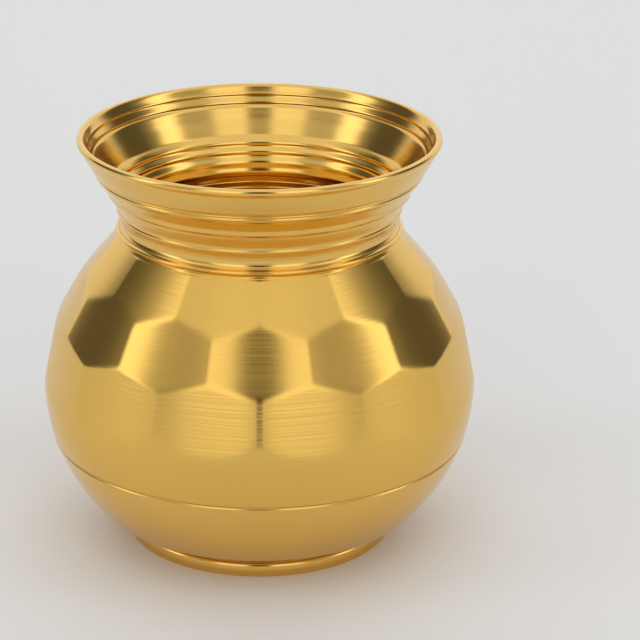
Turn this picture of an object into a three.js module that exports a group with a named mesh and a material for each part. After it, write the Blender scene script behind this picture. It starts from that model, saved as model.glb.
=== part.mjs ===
// A cast and lathe-turned brass lota: flared neck, faceted upper body, lower bowl and foot ring, with brazed seams.
// Millimetres, +Z up, the pot's axis on Z, the foot resting on z = 0, and 0 degrees of azimuth towards -Y.
import * as THREE from "three";

// Overall form.
const bodyRadius = 50.2; // widest ridge radius of the belly
const bodyCentreZ = 37.2;
const bodyHalfHeightLow = 44.7; // half axis of the ellipse below the widest level
const wall = 1.8;
const totalHeight = 96.5;
const rimRadius = 41.5;
const throatRadius = 31.6;

// Heights of the joints between the pieces.
const footRingTop = 3.2;
const footBrazeTop = 3.7;
const bowlTop = 24.7;
const bellyBrazeTop = 25.3;
const upperBodyTop = 73.9;
const neckBrazeTop = 75.2;

// Facets: three rows of thirteen, the middle row half a step round from the other two.
const facetsPerRow = 13;
const halfStep = Math.PI / facetsPerRow;
const columnsPerHalfStep = 2;
const columns = facetsPerRow * 2 * columnsPerHalfStep;
const ridgeExcess = 0.0105; // how far a ridge stands over the middle of its facet, as a part of the radius
const facetTopZ = 73.1;
const facetTopRadius = 33.0;
const rowLineZ = [
  // heights where a row line crosses the azimuths of the ridges at 0 degrees and of those half a step on
  { even: 64.3, odd: 62.3 }, // between the top and the middle row
  { even: 50.6, odd: 53.0 }, // between the middle and the bottom row
  { even: 39.4, odd: 36.9 }, // scalloped lower edge of the bottom row
];

const material = (name, colour, roughness) => {
  const made = new THREE.MeshStandardMaterial({ color: colour, roughness, metalness: 1 });
  made.name = name;
  return made;
};
const polished = material("polished_brass", 0xe6c062, 0.22);
const brushed = material("brushed_brass", 0xdcb558, 0.3);
const brazed = material("brazed_brass", 0xa98232, 0.45);

// Radius of the smooth body at a height, ridges included.
const ellipseRadius = (z, halfHeight = bodyHalfHeightLow, radius = bodyRadius) =>
  radius * Math.sqrt(Math.max(0, 1 - ((z - bodyCentreZ) / halfHeight) ** 2));

const piece = (name, geometry, look) => {
  const mesh = new THREE.Mesh(geometry, look);
  mesh.name = name;
  return mesh;
};

// A lathe about Z: the closed profile runs counterclockwise in the plane of radius and height.
const turned = (profile) => {
  const points = profile.map(([radius, z]) => new THREE.Vector2(radius, z));
  const geometry = new THREE.LatheGeometry(points, columns);
  geometry.rotateX(Math.PI / 2);
  return geometry;
};

// Points of an arc in the profile, from one angle to another in degrees.
const arc = (radius, z, size, from, to, steps) =>
  Array.from({ length: steps + 1 }, (_, i) => {
    const angle = THREE.MathUtils.degToRad(from + ((to - from) * i) / steps);
    return [radius + size * Math.cos(angle), z + size * Math.sin(angle)];
  });

// Neck: cove, collar, two turned bands, fine lines and a rounded lip; grooves inside as well.
const neckOutside = [
  [32.3, neckBrazeTop],
  [31.75, neckBrazeTop + 0.6],
  [throatRadius, 76.8],
  [32.0, 78.0],
  [32.75, 79.5],
  [32.55, 79.75], // top of the collar, then the lower band
  [32.75, 80.4],
  [33.85, 82.6],
  [34.2, 83.4],
  [34.85, 83.9], // bright ridge between the bands
  [35.0, 84.4],
  [35.15, 85.0],
  [36.75, 87.5],
  [37.2, 87.75],
  [37.6, 88.45],
  [37.45, 88.7], // groove pair
  [37.85, 89.1],
  [37.8, 89.35],
  [38.35, 89.8],
  [39.6, 92.1],
  [40.6, 94.1],
  [40.75, 94.5],
  [41.1, 95.0],
];
const lipTop = 0.55; // rounding of the lip's outer edge
const lipWidth = 1.5;
const neckLip = [
  [rimRadius, totalHeight - lipTop - 0.5],
  ...arc(rimRadius - lipTop, totalHeight - lipTop, lipTop, 0, 90, 3),
  [rimRadius - lipWidth + 0.3, totalHeight],
  [rimRadius - lipWidth, totalHeight - 0.3],
];
const neckInside = [
  [39.35, 94.9],
  [39.0, 94.35],
  [39.05, 94.0],
  [38.1, 92.5],
  [38.15, 92.1],
  [37.6, 91.6],
  [36.1, 88.9],
  [34.1, 85.6],
  [33.4, 85.0], // step down to the rougher, ridged throat
  [32.7, 84.2],
  [32.6, 83.4],
  [31.6, 82.3],
  [31.5, 81.4],
  [30.6, 80.0],
  [30.4, 78.8],
  [30.0, 77.6],
  [29.95, 76.6],
  [30.4, neckBrazeTop],
];
const neckProfile = () => [...neckOutside, ...neckLip, ...neckInside, neckOutside[0]];

// A bead or flush seam of braze between two pieces.
const seam = (inner, outer, low, high, bulge) => {
  const middle = (low + high) / 2;
  return turned([
    [inner, low],
    [outer, low],
    [outer + bulge * 0.8, low + (high - low) * 0.2],
    [outer + bulge, middle],
    [outer + bulge * 0.8, high - (high - low) * 0.2],
    [outer, high],
    [inner, high],
    [inner, low],
  ]);
};

// Straight lines down the middle of the facets, as radius at a height.
const lineThrough = (z0, r0, z1, r1) => (z) => r0 + ((z - z0) * (r1 - r0)) / (z1 - z0);
const facetMiddle = [
  lineThrough(facetTopZ, facetTopRadius - 0.35, rowLineZ[0].odd, 41.75),
  lineThrough(rowLineZ[0].even, 40.25, rowLineZ[1].even, 47.95),
  lineThrough(rowLineZ[1].odd, 46.95, rowLineZ[2].odd, 50.15),
];
// Radius on a facet of a row: least in its middle and most at its upright ridges.
// across is 0 on the azimuths of the middle row's facets and 1 half a step on.
const facetRadius = (row, z, across) => {
  const fromMiddle = row === 1 ? across : 1 - across;
  return facetMiddle[row](z) * (1 + ridgeExcess * fromMiddle ** 2);
};

// Grid rows of the faceted shell's outside, each a height and a radius over the position across a facet.
const shellRows = () => {
  const lineAt = (line, across) => line.even + (line.odd - line.even) * across;
  const flat = (z, radius) => () => [z, radius];
  const rows = [
    flat(bellyBrazeTop, ellipseRadius(bellyBrazeTop)),
    flat(29, ellipseRadius(29)),
    flat(33, ellipseRadius(33)),
  ];
  const edges = [{ even: facetTopZ, odd: facetTopZ }, ...rowLineZ];
  const scallop = (across) => {
    const line = rowLineZ[2];
    return line.odd + (line.even - line.odd) * (1 - across) ** 2;
  };
  const edgeZ = (index, across) => (index === 3 ? scallop(across) : lineAt(edges[index], across));
  rows.push((across) => [scallop(across), ellipseRadius(scallop(across))]);
  const stepsOfRow = [3, 2, 3];
  for (let row = 2; row >= 0; row -= 1) {
    const steps = stepsOfRow[row];
    for (let step = 1; step <= steps; step += 1) {
      rows.push((across) => {
        const low = edgeZ(row + 1, across);
        const high = edgeZ(row, across);
        const z = low + ((high - low) * step) / steps;
        const own = facetRadius(row, z, across);
        const shared = step === steps && row > 0 ? facetRadius(row - 1, z, across) : own;
        return [z, (own + shared) / 2];
      });
    }
  }
  rows.push(flat(upperBodyTop - 0.4, facetTopRadius - 0.6), flat(upperBodyTop, facetTopRadius - 0.7));
  return rows;
};

// The shell's inside, from its top down to the belly seam, as radius and height.
const shellInside = [
  [30.4, upperBodyTop],
  [31.2, 72.6],
  [34.4, 69.4],
  [37.6, 65.6],
  [40.9, 61.0],
  [43.9, 56.0],
  [46.2, 50.0],
  [47.7, 43.5],
  [48.2, 37.2],
  [47.7, 31.0],
  [ellipseRadius(bellyBrazeTop) - wall - 0.1, bellyBrazeTop],
];

const upperBody = () => {
  const rows = [...shellRows(), ...shellInside.map(([radius, z]) => () => [z, radius])];
  const position = [];
  const index = [];
  rows.forEach((row) => {
    for (let column = 0; column < columns; column += 1) {
      const place = (column / columnsPerHalfStep) % 2;
      const across = place > 1 ? 2 - place : place;
      const [z, radius] = row(across);
      const azimuth = (column / columnsPerHalfStep) * halfStep;
      position.push(radius * Math.sin(azimuth), -radius * Math.cos(azimuth), z);
    }
  });
  rows.forEach((_, rowIndex) => {
    const here = rowIndex * columns;
    const above = ((rowIndex + 1) % rows.length) * columns;
    for (let column = 0; column < columns; column += 1) {
      const next = (column + 1) % columns;
      index.push(here + column, here + next, above + next, here + column, above + next, above + column);
    }
  });
  const geometry = new THREE.BufferGeometry();
  geometry.setAttribute("position", new THREE.Float32BufferAttribute(position, 3));
  geometry.setIndex(index);
  geometry.computeVertexNormals();
  return geometry;
};

// Bowl: a short concave pedestal on the foot seam, then the ellipse up to the belly seam.
const pedestalRadius = 30.3;
const pedestalInner = 27.0;
const bowlUnderside = 5.0;
const bowlFloor = 7.0;
const bowlHeights = [7.0, 8.4, 10.2, 12.5, 15.2, 18.2, 21.4];
const bowlProfile = () => [
  [0, bowlUnderside],
  [pedestalInner, bowlUnderside],
  [pedestalInner, footBrazeTop],
  [pedestalRadius, footBrazeTop],
  [pedestalRadius + 0.1, 4.6],
  [pedestalRadius + 0.9, 5.6],
  [pedestalRadius + 2.6, 6.1],
  [35.6, 6.3],
  ...bowlHeights.map((z) => [ellipseRadius(z), z]),
  [ellipseRadius(bowlTop), bowlTop],
  [ellipseRadius(bowlTop) - wall - 0.1, bowlTop],
  [45.4, 19.6],
  [42.6, 14.8],
  [38.9, 11.0],
  [33.6, 8.2],
  [26.0, bowlFloor],
  [0, bowlFloor],
];

const footOuter = 30.9;
const footInner = 26.6;
const footProfile = () => [
  [footInner, 0.3],
  [footInner + 0.3, 0],
  [footOuter - 0.3, 0],
  [footOuter, 0.3],
  [footOuter + 0.1, footRingTop / 2],
  [footOuter - 0.1, footRingTop - 0.3],
  [footOuter - 0.4, footRingTop],
  [footInner, footRingTop],
  [footInner, 0.3],
];

const lota = new THREE.Group();
lota.name = "lota";
lota.add(
  piece("flared_neck", turned(neckProfile()), polished),
  piece("neck_braze", seam(30.4, 32.3, upperBodyTop, neckBrazeTop, 0.75), brazed),
  piece("upper_body", upperBody(), brushed),
  piece(
    "belly_braze",
    seam(
      ellipseRadius(bowlTop) - wall + 0.2,
      ellipseRadius(bowlTop) - 0.1,
      bowlTop,
      bellyBrazeTop,
      0.1,
    ),
    brazed,
  ),
  piece("lower_bowl", turned(bowlProfile()), polished),
  piece("foot_braze", seam(pedestalInner, pedestalRadius, footRingTop, footBrazeTop, 0.2), brazed),
  piece("foot_ring", turned(footProfile()), polished),
);

export default lota;
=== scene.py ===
import math
import bpy
import numpy as np
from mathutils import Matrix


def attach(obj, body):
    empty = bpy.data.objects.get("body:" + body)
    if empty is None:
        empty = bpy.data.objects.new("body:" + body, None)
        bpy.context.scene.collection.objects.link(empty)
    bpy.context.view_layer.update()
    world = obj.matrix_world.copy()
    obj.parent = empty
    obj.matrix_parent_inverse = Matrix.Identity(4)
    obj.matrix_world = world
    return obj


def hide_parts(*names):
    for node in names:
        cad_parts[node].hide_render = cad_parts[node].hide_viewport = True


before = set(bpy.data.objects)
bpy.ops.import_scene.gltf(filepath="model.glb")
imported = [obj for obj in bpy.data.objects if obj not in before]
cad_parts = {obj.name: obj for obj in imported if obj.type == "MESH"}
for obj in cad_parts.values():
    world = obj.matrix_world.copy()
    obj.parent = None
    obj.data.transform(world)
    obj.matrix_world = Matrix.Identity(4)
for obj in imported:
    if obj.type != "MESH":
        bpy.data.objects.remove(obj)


def writeSize():
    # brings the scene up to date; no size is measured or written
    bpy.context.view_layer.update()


writeSize()
print("frame loaded")

mm = 0.001
columns = 364  # round each turned surface: a multiple of twice thirteen
turnsRound = np.linspace(0, 2 * math.pi, columns, endpoint=False)[None, :]
allRound = np.ones((1, columns))


# a surface of revolution: x = r sin a, y = -r cos a, z as given; radii may change with azimuth
def gridMesh(name, radii, heights):
    rows = len(radii)
    points = np.empty((rows, columns, 3))
    points[:, :, 0] = radii * np.sin(turnsRound)
    points[:, :, 1] = -radii * np.cos(turnsRound)
    points[:, :, 2] = heights
    row, column = np.meshgrid(np.arange(rows), np.arange(columns), indexing="ij")
    here = row * columns
    above = (row + 1) % rows * columns
    beside = (column + 1) % columns
    corners = [here + column, here + beside, above + beside, above + column]
    faces = np.stack(corners, axis=-1).reshape(-1, 4)
    mesh = bpy.data.meshes.new(name)
    mesh.from_pydata((points.reshape(-1, 3) * mm).tolist(), [], faces.tolist())
    mesh.shade_smooth()
    mesh.update()
    made = bpy.data.objects.new(name, mesh)
    bpy.context.scene.collection.objects.link(made)
    return made


# each straight run of a closed profile is cut into steps no longer than the given length, at least three
def fineProfile(points, step):
    fine = []
    for (r0, z0), (r1, z1) in zip(points, points[1:] + points[:1]):
        count = max(3, int(math.hypot(r1 - r0, z1 - z0) / step))
        fine += [(r0 + (r1 - r0) * i / count, z0 + (z1 - z0) * i / count) for i in range(count)]
    return fine


# a closed profile of radius and height in millimetres, carried round the axis
def turned(name, points, step):
    profile = np.array(fineProfile(points, step))
    return gridMesh(name, profile[:, :1] * allRound, profile[:, 1:] * allRound)


body = {
    "radius": 50.15,
    "centreZ": 37.2,
    "halfHeight": 44.7,
    "smoothReach": 6,  # how far over the widest level the smooth belly is still compared
    "wall": 2.0,
    "low": 25.3,
    "top": 73.9,
    "facets": 13,
    "ridge": 0.0098,  # a ridge over the middle of its facet, as a part of the radius
    "rounding": 0.1,
    "shoulderZ": 73.1,  # over this the surface is round and leans in to the neck
    "shoulderRadius": 32.6,
    "shoulderLean": 0.4,
    "throatRadius": 30.6,
    "outsideRows": 170,
    "insideRows": 30,
    # the middle line of each row of facets: height and radius at its two ends
    "facetLines": [
        ((73.1, 32.6), (62.3, 41.7)),
        ((64.3, 40.2), (50.6, 47.9)),
        ((53.0, 46.9), (36.9, 50.1)),
    ],
}


# radius of the smooth belly at a height: a circle squeezed in height
def ellipse(z):
    squeezed = (z - body["centreZ"]) / body["halfHeight"]
    return body["radius"] * np.sqrt(np.maximum(0.02, 1 - squeezed ** 2))


# least of the facet surfaces and the smooth belly, with edges rounded by a soft minimum
def bodyRadius(z, azimuth):
    step = 2 * math.pi / body["facets"]
    surfaces = []
    for row, ((z0, r0), (z1, r1)) in enumerate(body["facetLines"]):
        shift = 0 if row == 1 else 0.5  # the middle row is half a facet round from the others
        off = (azimuth / step + shift + 0.5) % 1 - 0.5
        middle = r0 + (z - z0) * (r1 - r0) / (z1 - z0)
        surfaces.append(middle * (1 + body["ridge"] * (2 * off) ** 2))
    outOfReach = 60
    belly = np.where(z < body["centreZ"] + body["smoothReach"], ellipse(z), outOfReach)
    surfaces.append(belly + 0 * azimuth)
    stack = np.stack(np.broadcast_arrays(*surfaces))
    least = stack.min(axis=0)
    k = body["rounding"]
    return least - k * np.log(np.exp(-(stack - least) / k).sum(axis=0))


facetHeights = np.linspace(body["low"], 73.0, body["outsideRows"])
outZ = np.concatenate([facetHeights, [73.2, 73.4, 73.6, body["top"]]])[:, None]
outR = bodyRadius(outZ, turnsRound)
shoulder = body["shoulderRadius"] - (outZ - body["shoulderZ"]) * body["shoulderLean"]
outR = np.where(outZ > body["shoulderZ"], np.minimum(outR, shoulder), outR)
inZ = np.linspace(body["top"], body["low"], body["insideRows"])[:, None]
inR = bodyRadius(inZ, turnsRound * 0) - body["wall"]
inR = np.where(inZ > 73, body["throatRadius"], inR)
bodyRadii = np.vstack([outR, inR * allRound])
bodyHeights = np.vstack([outZ * allRound, inZ * allRound])
upperBody = gridMesh("upper_body_fine", bodyRadii, bodyHeights)
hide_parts("upper_body")
print("body made")

# radius and height, up the outside from the bead, over the lip and down the inside
neckShape = {
    "step": 0.35,
    "coveAndCollar": [(32.3, 75.2), (31.75, 75.8), (31.6, 76.8), (32.0, 78.0), (32.75, 79.5)],
    "lowerBand": [(32.55, 79.75), (32.75, 80.4), (33.85, 82.6), (34.2, 83.4), (34.85, 83.9)],
    "upperBand": [(35.0, 84.4), (35.15, 85.0), (36.75, 87.5), (37.2, 87.75)],
    "groovePair": [(37.6, 88.45), (37.45, 88.7), (37.85, 89.1), (37.8, 89.35), (38.35, 89.8)],
    "flare": [(39.6, 92.1), (40.6, 94.1), (40.75, 94.5), (41.1, 95.0)],
    "lip": [(41.5, 95.45), (41.5, 95.95), (41.3, 96.35), (40.95, 96.5), (40.3, 96.5), (40.0, 96.2)],
    "insideGrooves": [(39.35, 94.9), (39.0, 94.35), (39.05, 94.0), (38.1, 92.5), (38.15, 92.1)],
    "insideFlare": [(37.6, 91.6), (36.1, 88.9), (34.1, 85.6), (33.4, 85.0)],
    "throatRidges": [(32.7, 84.2), (32.6, 83.4), (31.6, 82.3), (31.5, 81.4), (30.6, 80.0), (30.4, 78.8)],
    "throat": [(30.0, 77.6), (29.95, 76.6), (30.4, 75.2)],
}
neckParts = [run for part, run in neckShape.items() if part != "step"]
neck = turned("flared_neck_fine", sum(neckParts, []), neckShape["step"])
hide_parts("flared_neck")


# a ring whose outer face swells by half a sine wave between its two flat faces
def seam(name, inner, outer, low, high, bulge):
    rise = high - low
    across = [(outer + bulge * math.sin(math.pi * i / 8), low + rise * i / 8) for i in range(9)]
    return turned(name, [(inner, low)] + across + [(inner, high)], 0.2)


# inner and outer radius, lower and upper height, swelling
seams = {
    "neck": (30.4, 32.3, 73.9, 75.2, 0.7),
    "belly": (46.6, 48.25, 24.7, 25.3, -0.12),
    "foot": (27.0, 30.3, 3.2, 3.7, 0.15),
}
neckBraze = seam("neck_braze_fine", *seams["neck"])
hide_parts("neck_braze")
bellyBraze = seam("belly_braze_fine", *seams["belly"])
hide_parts("belly_braze")
footBraze = seam("foot_braze_fine", *seams["foot"])
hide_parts("foot_braze")

# radius and height, out from the axis under the bowl, up the belly and back down its inside
bowlShape = {
    "step": 0.6,
    "bellyRows": 40,
    "bellyLow": 6.9,
    "bellyHigh": 24.7,
    "underside": [(0.02, 5.0), (27.0, 5.0), (27.0, 3.7), (30.3, 3.7)],
    "cove": [(30.4, 4.6), (31.2, 5.6), (32.9, 6.1), (35.4, 6.3)],
    "inside": [(46.4, 24.7), (45.4, 19.6), (42.6, 14.8), (38.9, 11.0), (33.6, 8.2)],
    "floor": [(26.0, 7.0), (0.02, 7.0)],
}
bellyHeights = np.linspace(bowlShape["bellyLow"], bowlShape["bellyHigh"], bowlShape["bellyRows"])
belly = [(float(ellipse(z)), float(z)) for z in bellyHeights]
bowlPoints = bowlShape["underside"] + bowlShape["cove"] + belly + bowlShape["inside"] + bowlShape["floor"]
bowl = turned("lower_bowl_fine", bowlPoints, bowlShape["step"])
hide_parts("lower_bowl")

ringShape = {
    "step": 0.3,
    "underside": [(26.6, 0.3), (26.9, 0.0), (30.6, 0.0), (30.9, 0.3)],
    "side": [(31.0, 1.6), (30.8, 2.9), (30.5, 3.2), (26.6, 3.2)],
}
ring = turned("foot_ring_fine", ringShape["underside"] + ringShape["side"], ringShape["step"])
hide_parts("foot_ring")
print("turned pieces made")

# colour, roughness, strength of the streaks
finishes = {
    "polished_brass": ((0.85, 0.54, 0.14), 0.16, 0.35),
    "brushed_brass": ((0.83, 0.52, 0.12), 0.2, 0.5),
    "brazed_brass": ((0.5, 0.3, 0.07), 0.4, 0.3),
}
streakShape = {"scale": (12, 12, 1500), "detail": 2, "depth": 0.00005}


# brass with fine streaks round the axis, from noise squeezed in height
def brass(name):
    colour, roughness, streaks = finishes[name]
    made = bpy.data.materials.new(name)
    made.use_nodes = True
    nodes, links = made.node_tree.nodes, made.node_tree.links
    shader = nodes["Principled BSDF"]
    shader.inputs["Base Color"].default_value = (*colour, 1)
    shader.inputs["Metallic"].default_value = 1
    shader.inputs["Roughness"].default_value = roughness
    coords = nodes.new("ShaderNodeTexCoord")
    squeeze = nodes.new("ShaderNodeMapping")
    squeeze.inputs["Scale"].default_value = streakShape["scale"]
    noise = nodes.new("ShaderNodeTexNoise")
    noise.inputs["Scale"].default_value = 1
    noise.inputs["Detail"].default_value = streakShape["detail"]
    bump = nodes.new("ShaderNodeBump")
    bump.inputs["Strength"].default_value = streaks
    bump.inputs["Distance"].default_value = streakShape["depth"]
    links.new(coords.outputs["Object"], squeeze.inputs["Vector"])
    links.new(squeeze.outputs["Vector"], noise.inputs["Vector"])
    links.new(noise.outputs["Fac"], bump.inputs["Height"])
    links.new(bump.outputs["Normal"], shader.inputs["Normal"])
    return made


polished = brass("polished_brass")
brushed = brass("brushed_brass")
brazed = brass("brazed_brass")
# piece, the brass that it shows and the record's slot that it belongs to
for made, look, slotName in (
    (neck, polished, "polished_brass"),
    (neckBraze, polished, "brazed_brass"),
    (upperBody, brushed, "brushed_brass"),
    (bellyBraze, brushed, "brazed_brass"),
    (bowl, polished, "polished_brass"),
    (footBraze, brazed, "brazed_brass"),
    (ring, polished, "polished_brass"),
):
    made.data.materials.append(look)
    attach(made, "root")

floorShape = {"half": 6, "colour": (0.9, 0.9, 0.9, 1), "roughness": 0.8}
half = floorShape["half"]
floorMesh = bpy.data.meshes.new("floor")
floorMesh.from_pydata(
    [(-half, -half, 0), (half, -half, 0), (half, half, 0), (-half, half, 0)], [], [(0, 1, 2, 3)]
)
floor = bpy.data.objects.new("floor", floorMesh)
bpy.context.scene.collection.objects.link(floor)
floorLook = bpy.data.materials.new("floor")
floorLook.use_nodes = True
floorShader = floorLook.node_tree.nodes["Principled BSDF"]
floorShader.inputs["Base Color"].default_value = floorShape["colour"]
floorShader.inputs["Roughness"].default_value = floorShape["roughness"]
floorMesh.materials.append(floorLook)

tent = {
    # light over the azimuth, from the camera's side (0) to the far side (1): a dark slit, then panels
    "panels": [
        (0.0, 0.03), (0.045, 0.03), (0.065, 1.7), (0.2, 1.5), (0.23, 0.5), (0.36, 0.6), (0.4, 2.2),
        (0.46, 2.0), (0.5, 0.35), (0.56, 0.12), (0.68, 0.12), (0.74, 1.1), (1.0, 1.2),
    ],
    "brightest": 2.5,  # the ramp holds numbers up to 1, so they are divided by this and multiplied again
    "roofStarts": 0.55,  # height of a direction where the sides turn into the even roof
    "roofFull": 0.85,
    "roofLight": 1.1,
}
world = bpy.data.worlds.new("tent")
bpy.context.scene.world = world
world.use_nodes = True
nodes, links = world.node_tree.nodes, world.node_tree.links
nodes.clear()


def mathNode(kind, first, second=None):
    made = nodes.new("ShaderNodeMath")
    made.operation = kind
    for socket, value in zip(made.inputs, (first, second)):
        if value is None:
            continue
        if isinstance(value, (int, float)):
            socket.default_value = value
        else:
            links.new(value, socket)
    return made.outputs[0]


coords = nodes.new("ShaderNodeTexCoord")
split = nodes.new("ShaderNodeSeparateXYZ")
links.new(coords.outputs["Generated"], split.inputs[0])
towards = mathNode("MULTIPLY", split.outputs["Y"], -1.0)
turn = mathNode("ABSOLUTE", mathNode("ARCTAN2", split.outputs["X"], towards))
ramp = nodes.new("ShaderNodeValToRGB")
links.new(mathNode("DIVIDE", turn, math.pi), ramp.inputs["Fac"])
stops = ramp.color_ramp.elements
for index, (place, value) in enumerate(tent["panels"]):
    element = stops[index] if index < 2 else stops.new(place)
    element.position = place
    part = value / tent["brightest"]
    element.color = (part, part, part, 1)
roof = nodes.new("ShaderNodeMapRange")
links.new(split.outputs["Z"], roof.inputs["Value"])
roof.inputs["From Min"].default_value = tent["roofStarts"]
roof.inputs["From Max"].default_value = tent["roofFull"]
roof.inputs["To Min"].default_value = 0.0
roof.inputs["To Max"].default_value = 1.0
sides = mathNode("MULTIPLY", ramp.outputs["Color"], tent["brightest"])
keptSides = mathNode("MULTIPLY", sides, mathNode("SUBTRACT", 1.0, roof.outputs["Result"]))
roofPart = mathNode("MULTIPLY", roof.outputs["Result"], tent["roofLight"])
light = nodes.new("ShaderNodeBackground")
links.new(mathNode("ADD", keptSides, roofPart), light.inputs["Strength"])
plain = nodes.new("ShaderNodeBackground")
plain.inputs["Color"].default_value = (1, 1, 1, 1)
path = nodes.new("ShaderNodeLightPath")
mix = nodes.new("ShaderNodeMixShader")
links.new(path.outputs["Is Camera Ray"], mix.inputs["Fac"])
links.new(light.outputs[0], mix.inputs[1])
links.new(plain.outputs[0], mix.inputs[2])
worldOut = nodes.new("ShaderNodeOutputWorld")
links.new(mix.outputs[0], worldOut.inputs["Surface"])

cameraSet = {
    "distance": 0.663,
    "down": math.radians(20.93),
    "aimZ": 0.0512,
    "lens": 160.3,
    "sensor": 36,
    "shiftX": 0.0945,
}
lens = bpy.data.cameras.new("camera")
lens.lens = cameraSet["lens"]
lens.sensor_width = cameraSet["sensor"]
lens.shift_x = cameraSet["shiftX"]
camera = bpy.data.objects.new("camera", lens)
down = cameraSet["down"]
camera.location = (
    0,
    -cameraSet["distance"] * math.cos(down),
    cameraSet["aimZ"] + cameraSet["distance"] * math.sin(down),
)
camera.rotation_euler = (math.pi / 2 - down, 0, 0)
bpy.context.scene.collection.objects.link(camera)
bpy.context.scene.camera = camera
bpy.context.scene.view_settings.view_transform = "Standard"
print("lights and camera set")

writeSize()
